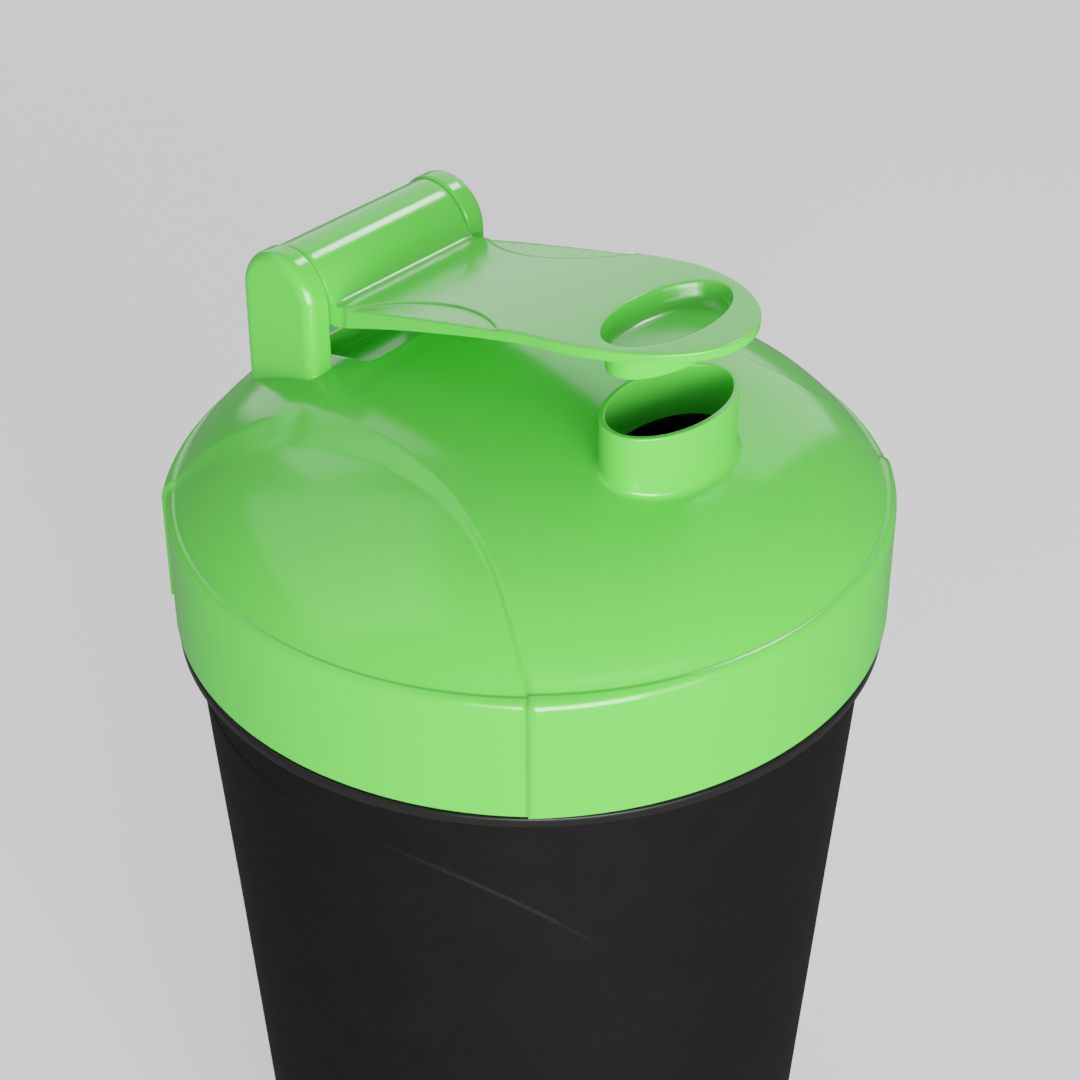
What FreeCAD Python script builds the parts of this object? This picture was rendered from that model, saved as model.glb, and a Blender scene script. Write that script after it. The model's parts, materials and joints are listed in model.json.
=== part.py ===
import FreeCAD, Part
import math
import os

V = FreeCAD.Vector

# Protein shaker: a tapered cup, a screw lid with a drinking spout, a hinged flip cap that
# plugs the spout, a silicone gasket and a clip-in strainer. Millimetres, +Z up, the origin
# at the centre of the cup's base. The spout is at the front (-Y) and the hinge at the back.

# ---- cup ----
CUP_H = 168.0                # base to the lower edge of the flange bead
CUP_TAPER = 3.7              # half angle of the wall, degrees
CUP_TOP_R = 47.7             # outer wall radius just under the flange
CUP_WALL = 2.2
CUP_FLOOR = 2.8
FOOT_ROUND = 4.0             # outer corner radius at the base
FOOT_RECESS = 1.4            # how far the middle of the base is raised
FLANGE_R = 50.0
FLANGE_H = 1.6
NECK_R = 45.4
NECK_BORE_R = 43.2
RIM_Z = CUP_H + 17.1         # top of the cup's rim
RIM_EDGE = 0.8               # chamfers of the rim
FLANGE_EDGE = 0.4
SHOULDER = (0.25, 4.0)       # inside, the wall turns in to the neck: step in and height below
FOOT_RING = 5.0              # width of the ring the cup stands on, with the wall's corner

# ---- screw thread ----
PITCH = 6.0
RIDGE_ROOT = 2.4             # ridge height along the axis, at its root
RIDGE_CREST = 1.2            # and at its crest
CUP_RIDGE_R = 47.7
LID_RIDGE_R = 45.8
CUP_RIDGE_Z = CUP_H + 5.5    # middle of the cup's ridge where it starts
CUP_TURNS = 1.25
LID_START = 15.0             # degrees along the helix to the lid ridge's start
LID_TURNS = 1.2
FLANK_GAP = 0.35             # axial play between the loaded flanks
BITE = 0.4                   # how far a ridge's root is sunk into its wall

# ---- lid ----
FRONT_R = (50.0, 50.8)       # skirt sections: radius at the middle and at the seams
BACK_R = (50.2, 51.1)
SIDE_R = (49.95, 50.4)
SKIRT_BORE_R = 48.1
SKIRT_Z = CUP_H + 2.05       # bottom edge of the skirt
LEDGE_Z = CUP_H + 19.9       # top of the skirt, a narrow ledge round the dome
SKIRT_EDGE = 0.9             # rounding of the skirt's top edge
CREASE_R = 48.5
CREASE_STEP = 0.4            # how far the dome's foot runs out on to the ledge
CREASE_Z = CUP_H + 21.7      # foot of the dome
DOME_Z = CUP_H + 37.7        # top of the dome
DOME_FALL = ((2, 0.4375), (4, 0.3375), (8, 0.225))   # powers of r and their shares of the fall
DOME_WALL = 2.0
SCALLOP_DROP = 0.7           # the side scallops lie this far under the dome
SEAM_FRONT = 48.2            # seam angles, from the spout's and the hinge's direction
SEAM_BACK = 44.5
GASKET_Z = RIM_Z             # the gasket lies on the cup's rim
GASKET_H = 1.5
GASKET_R = (43.0, 47.5)
PLUG_RING_R = (41.2, 42.7)   # ring that guides the lid into the neck
PLUG_RING_Z = CUP_H + 12.0

# ---- spout ----
SPOUT_Y = -24.1
SPOUT_Z = CUP_H + 43.0       # rim
SPOUT_R = (11.3, 7.2)        # outer half axes across and along
SPOUT_WALL = 0.85

# ---- hinge ----
HINGE_Y = 31.0
HINGE_Z = CUP_H + 44.1
EAR_X = (13.75, 17.6)        # inner and outer face
EAR_R = 6.8
EAR_EDGE = 1.2               # rounding of the ear's outer edge
BARREL_R = 6.5
BARREL_X = 13.6              # half length
AXLE_R = 1.9
AXLE_HOLE_R = 1.98
AXLE_X = 16.5                # end of the stub axle
AXLE_HOLE_X = 16.7           # end of the blind hole
WELL_X = 11.0                # blind well in the dome between the ears
WELL_Y = (19.6, 33.0)
WELL_FLOOR_Z = CUP_H + 29.6
WELL_WALL = 1.6
WELL_CORNER = 2.0

# ---- flip cap, as it stands a little open ----
FLAP_X = 13.8                # half width
FLAP_Y = (23.2, 12.0, 0.0, -9.0, -15.0, -21.0, -28.0, -35.5)    # foot to tip
FLAP_RISE = (0.5, 3.7, 6.85, 9.05, 10.25, 11.1, 11.85, 12.5)     # top, over CUP_H + 44
FLAP_TIP_Y = FLAP_Y[-1]
FLAP_HEAD_Y = -15.0          # where the half-elliptical head begins
FLAP_NECK_Y = 21.5           # behind this line the plate is as narrow as the barrel
FLAP_THICK = (3.4, 2.6, 2.0, 1.7, 1.65, 1.6, 1.55, 1.5)          # plate thickness
RELIEF = 0.3                 # depth of the crescent reliefs
RELIEF_Y = (21.0, -7.0)
RELIEF_DEEP = 5.0            # how far a crescent reaches in from the edge
CAP_PLUG_Y = -23.0
CAP_PLUG_Z = CUP_H + 55.45   # the plate's top there
CAP_PLUG_TILT = -10.0        # degrees, so that it stands upright when the cap is shut
CAP_PLUG_R = (10.1, 5.95)
CAP_PLUG_DEPTH = 5.2         # from the plate's top
CAP_DISH_R = (10.6, 6.5)     # dished recess in the plate's top, above the plug
CAP_DISH_RISE = 0.5          # its rim is taken this far over the arched plate
CAP_DISH_FLOOR_R = (8.8, 4.7)
CAP_DISH_DEPTH = 3.9

# ---- strainer ----
STRAINER_R = 42.4
COLLAR_R = (39.4, 40.9)
COLLAR_TOP = CUP_H + 15.5
GRID_Z = CUP_H + 10.4
GRID_H = 1.6
GRID_R = 39.6
HOLE = 3.8
HOLE_PITCH = 5.0
GRID_TURN = 30.0             # the grid's angle to the spout

# ---- cutting tools ----
PAST = 1.0                   # how far a cutting tool runs past what it cuts
POST_Z = CUP_H + 26.0        # posts on the dome start here, inside its wall or its hollow
PLAN_Z = (CUP_H + 35.0, CUP_H + 65.0)    # reach of the upright cutters of the flap


def revolve(points):
    """Solid of revolution about Z from (radius, z) points."""
    wire = Part.makePolygon([V(r, 0, z) for r, z in points + points[:1]])
    return Part.Face(wire).revolve(V(0, 0, 0), V(0, 0, 1), 360)


def ring(r_in, r_out, z0, z1):
    return revolve([(r_in, z0), (r_out, z0), (r_out, z1), (r_in, z1)])


def oval(cx, cy, rx, ry, z):
    """Closed elliptical wire, rx across (X) and the smaller ry along (Y)."""
    return Part.Wire(Part.Ellipse(V(cx, cy, z), rx, ry).toShape())


def oval_tower(cy, rx, ry, z0, z1):
    return Part.Face(oval(0, cy, rx, ry, z0)).extrude(V(0, 0, z1 - z0))


def prism(edges, z0, z1):
    """Upright prism on a closed plan outline drawn at z = 0."""
    face = Part.Face(Part.Wire(Part.__sortEdges__(edges)))
    face.translate(V(0, 0, z0))
    return face.extrude(V(0, 0, z1 - z0))


def mirror_x(shape):
    return shape.mirror(V(0, 0, 0), V(1, 0, 0))


# ---- cup ---------------------------------------------------------------------------------
def cup_radius(z):
    return CUP_TOP_R - (CUP_H - z) * math.tan(math.radians(CUP_TAPER))


def quarter(cx, cz, r, start, steps=8):
    """Points of a quarter turn of a corner, anticlockwise from the start angle."""
    angles = [math.radians(start + 90 * i / steps) for i in range(steps + 1)]
    return [(cx + r * math.cos(a), cz + r * math.sin(a)) for a in angles]


def ridge(r_root, r_crest, z_start, turns, start_deg):
    """Trapezoidal helical ridge, right-handed, standing out or in from r_root."""
    z0 = z_start + PITCH * start_deg / 360
    half_root, half_crest = RIDGE_ROOT / 2, RIDGE_CREST / 2
    spine = Part.makeHelix(PITCH, PITCH * turns, min(r_root, r_crest))
    section = Part.makePolygon([V(r_root, 0, -half_root), V(r_crest, 0, -half_crest),
                                V(r_crest, 0, half_crest), V(r_root, 0, half_root),
                                V(r_root, 0, -half_root)])
    solid = Part.Wire(spine.Edges).makePipeShell([section], True, True)
    solid.rotate(V(0, 0, 0), V(0, 0, 1), start_deg)
    solid.translate(V(0, 0, z0))
    return solid


def make_cup():
    shoulder = (CUP_TOP_R - CUP_WALL - SHOULDER[0], CUP_H - SHOULDER[1])
    foot = quarter(cup_radius(FOOT_ROUND) - FOOT_ROUND, FOOT_ROUND, FOOT_ROUND, -90)
    floor_r = cup_radius(CUP_FLOOR) - CUP_WALL
    inner_foot = quarter(floor_r - FOOT_ROUND, CUP_FLOOR + FOOT_ROUND, FOOT_ROUND, -90)[::-1]
    ring_r = floor_r - FOOT_RING
    points = [(0, FOOT_RECESS), (ring_r - FOOT_RECESS, FOOT_RECESS), (ring_r, 0)]
    points += foot
    flange_top = CUP_H + FLANGE_H
    points += [(CUP_TOP_R, CUP_H), (FLANGE_R - FLANGE_EDGE, CUP_H)]
    points += [(FLANGE_R, CUP_H + FLANGE_EDGE), (FLANGE_R, flange_top - FLANGE_EDGE)]
    points += [(FLANGE_R - FLANGE_EDGE, flange_top), (NECK_R, flange_top)]
    points += [(NECK_R, RIM_Z - RIM_EDGE), (NECK_R - RIM_EDGE, RIM_Z)]
    points += [(NECK_BORE_R + RIM_EDGE, RIM_Z), (NECK_BORE_R, RIM_Z - RIM_EDGE)]
    points += [(NECK_BORE_R, CUP_H), shoulder]
    points += inner_foot
    points += [(0, CUP_FLOOR)]
    cup = revolve(points)
    thread = ridge(NECK_R - BITE, CUP_RIDGE_R, CUP_RIDGE_Z, CUP_TURNS, 0)
    return cup.fuse(thread)


# ---- lid ---------------------------------------------------------------------------------
def dome_z(r):
    """Height of the dome's outer face at radius r."""
    s = r / CREASE_R
    fall = sum(share * s ** power for power, share in DOME_FALL)
    return DOME_Z - (DOME_Z - CREASE_Z) * fall


def dome_edge(drop, r_end):
    """Smooth dome profile from the axis out to r_end, lowered by drop."""
    steps = 10
    points = [V(r_end * i / steps, 0, dome_z(r_end * i / steps) - drop) for i in range(steps + 1)]
    curve = Part.BSplineCurve()
    curve.interpolate(points)
    return curve.toShape(), points[0], points[-1]


def dome(drop):
    """Solid under the dome's outer face, down to the ledge."""
    curve, top, foot = dome_edge(drop, CREASE_R)
    low = LEDGE_Z - PAST
    rest = Part.makePolygon([foot, V(CREASE_R + CREASE_STEP, 0, LEDGE_Z),
                             V(CREASE_R + CREASE_STEP, 0, low), V(0, 0, low), top])
    return Part.Face(Part.Wire([curve] + rest.Edges)).revolve(V(0, 0, 0), V(0, 0, 1), 360)


def polar(r, degrees):
    return V(r * math.cos(math.radians(degrees)), r * math.sin(math.radians(degrees)), SKIRT_Z)


def skirt_section(start, end, radii):
    """One sector of the skirt, on a flatter arc than the circle, so its seams stand out."""
    r_mid, r_seam = radii
    a, b = polar(r_seam, start), polar(r_seam, end)
    arc = Part.Arc(a, polar(r_mid, (start + end) / 2), b).toShape()
    centre = V(0, 0, SKIRT_Z)
    sides = [Part.LineSegment(b, centre).toShape(), Part.LineSegment(centre, a).toShape()]
    sector = Part.Face(Part.Wire([arc] + sides)).extrude(V(0, 0, LEDGE_Z - SKIRT_Z))
    top_arc = [e for e in sector.Edges if e.Curve.TypeId == "Part::GeomCircle"
               and abs(e.Vertexes[0].Z - LEDGE_Z) < 1e-6]
    return sector.makeFillet(SKIRT_EDGE, top_arc)


def skirt():
    seams = [270 - SEAM_FRONT, 270 + SEAM_FRONT, 450 - SEAM_BACK, 450 + SEAM_BACK]
    sections = zip(seams, seams[1:] + [seams[0] + 360], (FRONT_R, SIDE_R, BACK_R, SIDE_R))
    pieces = [skirt_section(start, end, radii) for start, end, radii in sections]
    return pieces[0].multiFuse(pieces[1:])


def scallop_outline():
    """Plan of the left side section: it narrows to a peak beside the left ear."""
    reach = 70.0
    front = math.radians(270 - SEAM_FRONT)
    back = math.radians(90 + SEAM_BACK)
    start = V(reach * math.cos(front), reach * math.sin(front), 0)
    end = V(reach * math.cos(back), reach * math.sin(back), 0)
    front_end = start * (CREASE_R / reach)
    rear_end = end * (CREASE_R / reach)
    peak = V(-21.0, 21.6, 0)
    side = Part.BSplineCurve()
    side.interpolate([front_end, V(-33.0, -26.5, 0), V(-28.6, -17.5, 0), V(-24.6, -4.0, 0),
                      V(-22.4, 9.5, 0), peak])
    rear = Part.Arc(peak, V(-28.6, 27.0, 0), rear_end).toShape()
    return [Part.LineSegment(start, front_end).toShape(), side.toShape(), rear,
            Part.LineSegment(rear_end, end).toShape(),
            Part.LineSegment(end, start).toShape()]


def lid_inside():
    """The hollow under the lid: skirt bore, gasket groove and the dome's inside."""
    groove_z = GASKET_Z + GASKET_H
    curve, top, foot = dome_edge(DOME_WALL, PLUG_RING_R[0])
    below = SKIRT_Z - PAST
    outline = [foot, V(PLUG_RING_R[0], 0, PLUG_RING_Z), V(PLUG_RING_R[1], 0, PLUG_RING_Z),
               V(PLUG_RING_R[1], 0, groove_z), V(SKIRT_BORE_R, 0, groove_z),
               V(SKIRT_BORE_R, 0, below), V(0, 0, below), top]
    rest = Part.makePolygon(outline)
    return Part.Face(Part.Wire([curve] + rest.Edges)).revolve(V(0, 0, 0), V(0, 0, 1), 360)


def rounded_box(half_x, y0, y1, z0, z1, corner):
    box = Part.makeBox(2 * half_x, y1 - y0, z1 - z0, V(-half_x, y0, z0))
    upright = [e for e in box.Edges if abs(e.tangentAt(e.FirstParameter).z) > 0.9]
    return box.makeFillet(corner, upright)


def ear():
    """Right hinge ear: a round-topped post with a softened outer edge."""
    x0, x1 = EAR_X
    arch = Part.Arc(V(x0, HINGE_Y + EAR_R, HINGE_Z), V(x0, HINGE_Y, HINGE_Z + EAR_R),
                    V(x0, HINGE_Y - EAR_R, HINGE_Z)).toShape()
    legs = Part.makePolygon([V(x0, HINGE_Y - EAR_R, HINGE_Z), V(x0, HINGE_Y - EAR_R, POST_Z),
                             V(x0, HINGE_Y + EAR_R, POST_Z), V(x0, HINGE_Y + EAR_R, HINGE_Z)])
    post = Part.Face(Part.Wire([arch] + legs.Edges)).extrude(V(x1 - x0, 0, 0))
    rim = [e for e in post.Edges if all(abs(v.X - x1) < 1e-6 for v in e.Vertexes)
           and any(v.Z > POST_Z + PAST for v in e.Vertexes)]
    post = post.makeFillet(EAR_EDGE, rim)
    hole = Part.makeCylinder(AXLE_HOLE_R, AXLE_HOLE_X - x0 + PAST,
                             V(x0 - PAST, HINGE_Y, HINGE_Z), V(1, 0, 0))
    return post, hole


def make_lid():
    sides = prism(scallop_outline(), SKIRT_Z - PAST, DOME_Z + PAST)
    sides = sides.fuse(mirror_x(sides))
    outside = dome(0).cut(sides).fuse(dome(SCALLOP_DROP).common(sides)).fuse(skirt())

    spout = oval_tower(SPOUT_Y, *SPOUT_R, POST_Z, SPOUT_Z)
    bore = oval_tower(SPOUT_Y, SPOUT_R[0] - SPOUT_WALL, SPOUT_R[1] - SPOUT_WALL,
                      POST_Z - PAST, SPOUT_Z + PAST)
    well_boss = rounded_box(WELL_X + WELL_WALL, WELL_Y[0] - WELL_WALL, WELL_Y[1] + WELL_WALL,
                            WELL_FLOOR_Z - WELL_WALL, DOME_Z, WELL_CORNER + WELL_WALL)
    well = rounded_box(WELL_X, *WELL_Y, WELL_FLOOR_Z, DOME_Z + PAST, WELL_CORNER)

    inside = lid_inside()
    lid = outside.fuse(spout.cut(inside)).cut(inside.cut(well_boss)).cut(bore).cut(well)
    post, hole = ear()
    for side in (post, mirror_x(post)):
        lid = lid.fuse(side.cut(inside))
    for side in (hole, mirror_x(hole)):
        lid = lid.cut(side)
    lid_ridge_z = CUP_RIDGE_Z - (RIDGE_ROOT + RIDGE_CREST) / 2 - FLANK_GAP + 0.1
    thread = ridge(SKIRT_BORE_R + BITE, LID_RIDGE_R, lid_ridge_z, LID_TURNS, LID_START)
    return lid.fuse(thread)


# ---- flip cap ----------------------------------------------------------------------------
def plate_points(lower=0.0):
    """Side view points: along the top from foot to tip, and back along the underside."""
    level = CUP_H + 44.0
    top = [V(0, y, level + rise - lower) for y, rise in zip(FLAP_Y, FLAP_RISE)]
    under = [p - V(0, 0, t) for p, t in zip(top, FLAP_THICK)]
    return top, under[::-1]


def spline(points):
    curve = Part.BSplineCurve()
    curve.interpolate(points)
    return curve.toShape()


def flap_plate():
    top, under = plate_points()
    barrel_top = V(0, HINGE_Y - 5.3, HINGE_Z + 3.4)
    barrel_low = V(0, HINGE_Y - 3.0, HINGE_Z - 4.0)
    hollow = Part.Arc(barrel_top, V(0, HINGE_Y - 6.6, HINGE_Z + 1.5), top[0]).toShape()
    outline = [hollow, spline(top), Part.LineSegment(top[-1], under[0]).toShape(),
               spline(under), Part.LineSegment(under[-1], barrel_low).toShape(),
               Part.LineSegment(barrel_low, barrel_top).toShape()]
    side = Part.Face(Part.Wire(outline))
    side.translate(V(-FLAP_X, 0, 0))
    return side.extrude(V(2 * FLAP_X, 0, 0))


def flap_plan():
    """Plan prism: parallel sides, narrower at the barrel, and a half-elliptical head."""
    head = Part.Ellipse(V(0, FLAP_TIP_Y, 0), V(FLAP_X, FLAP_HEAD_Y, 0), V(0, FLAP_HEAD_Y, 0))
    head = Part.ArcOfEllipse(head, -math.pi / 2, math.pi / 2).toShape()
    ends = sorted((v.Point for v in head.Vertexes), key=lambda p: p.x)
    back_y = HINGE_Y + BARREL_R
    outline = Part.makePolygon([ends[0], V(-FLAP_X, FLAP_NECK_Y, 0), V(-BARREL_X, FLAP_NECK_Y, 0),
                                V(-BARREL_X, back_y, 0), V(BARREL_X, back_y, 0),
                                V(BARREL_X, FLAP_NECK_Y, 0), V(FLAP_X, FLAP_NECK_Y, 0), ends[1]])
    return prism([head] + outline.Edges, *PLAN_Z)


def flap_relief():
    """Shallow crescent cut along the left edge of the plate's top."""
    y0, y1 = RELIEF_Y
    edge = -FLAP_X
    inner = Part.Arc(V(edge, y0, 0), V(-FLAP_X + RELIEF_DEEP, (y0 + y1) / 2, 0),
                     V(edge, y1, 0)).toShape()
    chord = Part.LineSegment(V(edge, y1, 0), V(edge, y0, 0)).toShape()
    crescent = prism([inner, chord], *PLAN_Z)
    top, _ = plate_points(RELIEF)
    high = V(0, 0, RELIEF + PAST)
    roof = [spline(top), Part.LineSegment(top[-1], top[-1] + high).toShape(),
            Part.LineSegment(top[-1] + high, top[0] + high).toShape(),
            Part.LineSegment(top[0] + high, top[0]).toShape()]
    side = Part.Face(Part.Wire(roof))
    side.translate(V(-FLAP_X - PAST, 0, 0))
    return crescent.common(side.extrude(V(FLAP_X, 0, 0)))


def make_flip_cap():
    plate = flap_plate().common(flap_plan())
    relief = flap_relief()
    plate = plate.cut(relief).cut(mirror_x(relief))
    barrel = Part.makeCylinder(BARREL_R, 2 * BARREL_X, V(-BARREL_X, HINGE_Y, HINGE_Z),
                               V(1, 0, 0))
    axle = Part.makeCylinder(AXLE_R, 2 * AXLE_X, V(-AXLE_X, HINGE_Y, HINGE_Z), V(1, 0, 0))
    plug = oval_tower(0, *CAP_PLUG_R, -CAP_PLUG_DEPTH, -RELIEF)
    dish = Part.makeLoft([oval(0, 0, *CAP_DISH_R, CAP_DISH_RISE),
                          oval(0, 0, *CAP_DISH_FLOOR_R, -CAP_DISH_DEPTH)], True)
    for piece in (plug, dish):
        piece.rotate(V(0, 0, 0), V(1, 0, 0), CAP_PLUG_TILT)
        piece.translate(V(0, CAP_PLUG_Y, CAP_PLUG_Z))
    return plate.fuse(barrel).fuse(axle).fuse(plug).cut(dish)


# ---- gasket and strainer -----------------------------------------------------------------
def make_strainer():
    flange = ring(GRID_R - 1, STRAINER_R, GRID_Z, PLUG_RING_Z)
    collar = ring(COLLAR_R[0], COLLAR_R[1], GRID_Z, COLLAR_TOP)
    disc = Part.makeCylinder(GRID_R, GRID_H, V(0, 0, GRID_Z))
    reach = GRID_R - 1.2
    count = int(reach / HOLE_PITCH)
    cells = []
    for i in range(-count, count + 1):
        for j in range(-count, count + 1):
            far = math.hypot(abs(i) * HOLE_PITCH + HOLE / 2, abs(j) * HOLE_PITCH + HOLE / 2)
            if far < reach:
                corner = V(i * HOLE_PITCH - HOLE / 2, j * HOLE_PITCH - HOLE / 2, GRID_Z - 1)
                cells.append(Part.makeBox(HOLE, HOLE, GRID_H + 2, corner))
    grid = disc.cut(Part.makeCompound(cells))
    strainer = grid.fuse(flange).fuse(collar)
    strainer.rotate(V(0, 0, 0), V(0, 0, 1), GRID_TURN)
    return strainer


NODES = {
    "cup": make_cup,
    "lid": make_lid,
    "flip_cap": make_flip_cap,
    "lid_gasket": lambda: ring(*GASKET_R, GASKET_Z, GASKET_Z + GASKET_H),
    "strainer": make_strainer,
}

os.makedirs("parts", exist_ok=True)
for name, make in NODES.items():
    shape = make().removeSplitter()
    box = shape.BoundBox
    print(name, "valid", shape.isValid(), "solids", len(shape.Solids),
          "volume", round(shape.Volume), "z", round(box.ZMin, 2), round(box.ZMax, 2))
    shape.exportStep("parts/" + name + ".step")
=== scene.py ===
import json
import math

import bmesh
import bpy
import numpy as np
from mathutils import Matrix, Vector
from mathutils.geometry import delaunay_2d_cdt


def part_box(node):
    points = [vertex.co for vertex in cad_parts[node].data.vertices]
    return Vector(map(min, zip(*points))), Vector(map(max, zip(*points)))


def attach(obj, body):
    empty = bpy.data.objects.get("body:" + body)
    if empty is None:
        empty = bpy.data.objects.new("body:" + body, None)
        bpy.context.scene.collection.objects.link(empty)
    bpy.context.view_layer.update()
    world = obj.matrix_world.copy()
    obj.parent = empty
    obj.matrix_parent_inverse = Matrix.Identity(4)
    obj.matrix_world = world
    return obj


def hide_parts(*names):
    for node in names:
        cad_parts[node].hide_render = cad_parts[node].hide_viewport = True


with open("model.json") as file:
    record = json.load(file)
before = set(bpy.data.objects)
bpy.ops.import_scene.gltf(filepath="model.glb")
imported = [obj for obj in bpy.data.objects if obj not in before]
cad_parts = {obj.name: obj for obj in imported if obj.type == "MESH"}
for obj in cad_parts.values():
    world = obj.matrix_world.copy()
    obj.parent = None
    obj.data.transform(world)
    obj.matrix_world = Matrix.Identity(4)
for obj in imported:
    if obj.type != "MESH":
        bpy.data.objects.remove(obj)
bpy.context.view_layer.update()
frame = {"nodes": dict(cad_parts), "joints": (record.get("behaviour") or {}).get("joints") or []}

# A shaker bottle with a screw lid and a flip cap. All sizes are millimetres in the CAD frame:
# +Z up, the spout towards -Y, the hinge along X at the back. Meshes are written in metres.
# Heights of the lid and the cap are counted from CUP_H, the lower edge of the cup's flange.
MM = 0.001
LID_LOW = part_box("lid")[0] / MM
CUP_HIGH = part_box("cup")[1] / MM
GASKET_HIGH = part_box("lid_gasket")[1] / MM
HINGE = [j for j in frame["joints"] if j["name"] == "flip_cap_hinge"][0]["pos_m"]
SKIRT_GAP = 2.05                                # from the flange's lower edge to the skirt
CUP_H = round(LID_LOW.z - SKIRT_GAP, 3)
HINGE_Y, HINGE_Z = HINGE[1] / MM, HINGE[2] / MM


# ---- mesh building -----------------------------------------------------------------------
class Shell:
    """Patches of one moulded piece. They share their border points and are welded at the end."""

    def __init__(self):
        self.points, self.faces, self.count = [], [], 0

    def add(self, points, faces):
        points = np.asarray(points, float).reshape(-1, 3)
        self.faces += [[i + self.count for i in face] for face in faces]
        self.points.append(points)
        self.count += len(points)

    def grid(self, rows, closed=True):
        """Quads between neighbouring rows of points; closed joins the last column to the first."""
        rows = np.asarray(rows, float)
        n_rows, n_cols = rows.shape[:2]
        last = n_cols if closed else n_cols - 1
        faces = []
        for i in range(n_rows - 1):
            low, high = i * n_cols, (i + 1) * n_cols
            for j in range(last):
                k = (j + 1) % n_cols
                faces.append([low + j, low + k, high + k, high + j])
        self.add(rows, faces)

    def sheet(self, outline, holes, filling, lift):
        """Triangles between an outline and its holes in plan, with filling points, lifted to 3D."""
        loops = [outline] + holes
        plan = [Vector(p) for loop in loops for p in loop]
        edges, start = [], 0
        for loop in loops:
            edges += [(start + i, start + (i + 1) % len(loop)) for i in range(len(loop))]
            start += len(loop)
        plan += [Vector(p) for p in filling]
        points, _, faces, _, _, _ = delaunay_2d_cdt(plan, edges, [], 0, 1e-6)
        points = np.array([tuple(p) for p in points])
        faces = np.array(faces)
        centres = points[faces].mean(axis=1)
        keep = inside(centres, outline)
        for hole in holes:
            keep &= ~inside(centres, hole)
        self.add(lift(points[:, 0], points[:, 1]), faces[keep].tolist())

    def build(self, name, materials):
        mesh = bpy.data.meshes.new(name)
        points = np.concatenate(self.points) * MM
        mesh.from_pydata(points.tolist(), [], self.faces)
        weld(mesh)
        piece = bpy.data.objects.new(name, mesh)
        bpy.context.scene.collection.objects.link(piece)
        for material in materials:
            mesh.materials.append(material)
        return piece


def weld(mesh):
    """Joins the patches at their shared points, turns all faces outwards and smooths them."""
    bm = bmesh.new()
    bm.from_mesh(mesh)
    bmesh.ops.remove_doubles(bm, verts=bm.verts, dist=2e-6)
    bmesh.ops.dissolve_degenerate(bm, edges=bm.edges, dist=1e-7)
    bmesh.ops.recalc_face_normals(bm, faces=bm.faces)
    for face in bm.faces:
        face.smooth = True
    loose = [v for v in bm.verts if not v.link_faces]
    bmesh.ops.delete(bm, geom=loose, context="VERTS")
    bm.to_mesh(mesh)
    bm.free()


def inside(points, loop):
    """Which points lie inside a closed plan loop, by counting crossings."""
    x, y = np.asarray(points)[:, 0], np.asarray(points)[:, 1]
    loop = np.asarray(loop, float)
    result = np.zeros(len(x), bool)
    for (x0, y0), (x1, y1) in zip(loop, np.roll(loop, -1, axis=0)):
        if y0 != y1:
            crossing = (y0 > y) != (y1 > y)
            result ^= crossing & (x < (x1 - x0) * (y - y0) / (y1 - y0) + x0)
    return result


def path_distance(x, y, path):
    """Distance from each point to an open polyline."""
    path = np.asarray(path, float)
    best = np.full(np.shape(x), np.inf)
    for (x0, y0), (x1, y1) in zip(path[:-1], path[1:]):
        dx, dy = x1 - x0, y1 - y0
        t = np.clip(((x - x0) * dx + (y - y0) * dy) / (dx * dx + dy * dy), 0, 1)
        best = np.minimum(best, np.hypot(x - x0 - t * dx, y - y0 - t * dy))
    return best


def keep_off(points, loop, gap, within=False):
    """The points outside a loop, or within it, that are more than a gap from its line."""
    closed = np.concatenate([loop, loop[:1]])
    far = path_distance(points[:, 0], points[:, 1], closed) > gap
    return points[far & (inside(points, loop) == within)]


def smooth_curve(points, steps):
    """Catmull-Rom curve through the points."""
    points = np.asarray(points, float)
    ends = [2 * points[0] - points[1], *points, 2 * points[-1] - points[-2]]
    curve = []
    for a, b, c, d in zip(ends, ends[1:], ends[2:], ends[3:]):
        for t in np.arange(steps) / steps:
            curve.append(0.5 * (2 * b + (c - a) * t + (2 * a - 5 * b + 4 * c - d) * t * t
                                + (3 * b - a - 3 * c + d) * t ** 3))
    return np.array(curve + [points[-1]])


def bend(start, corner, end, shares):
    """Points of a quadratic curve from start to end, drawn towards a corner."""
    return [(1 - t) ** 2 * start + 2 * t * (1 - t) * corner + t * t * end for t in shares]


def soft_ramp(u, ease):
    """0 below 0, 1 above 1, a straight ramp between, with both corners eased."""
    def area(t):
        t = np.maximum(t, 0)
        return np.where(t < 1, t * t / 2, t - 0.5)
    return (area(u + ease) - area(u - ease)) / (2 * ease)


def soft_fade(t):
    """0 below 0, 1 above 1, and an S-shaped rise between."""
    t = np.clip(t, 0, 1)
    return t ** 2 * (3 - 2 * t)


def round_path(points, radii, steps=5):
    """Polyline in (r, z) whose inner corners are rounded with the given radii."""
    points = [np.array(p, float) for p in points]
    rows = [points[0]]
    for before, corner, after, radius in zip(points, points[1:], points[2:], radii):
        a, b = before - corner, after - corner
        la, lb = np.linalg.norm(a), np.linalg.norm(b)
        turn = math.acos(max(-1, min(1, float(a @ b) / (la * lb))))
        reach = min(radius / math.tan(turn / 2), la * 0.8, lb * 0.8)
        start, end = corner + a / la * reach, corner + b / lb * reach
        rows += bend(start, corner, end, np.linspace(0, 1, steps + 1))
    return np.array(rows + [points[-1]])


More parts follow.
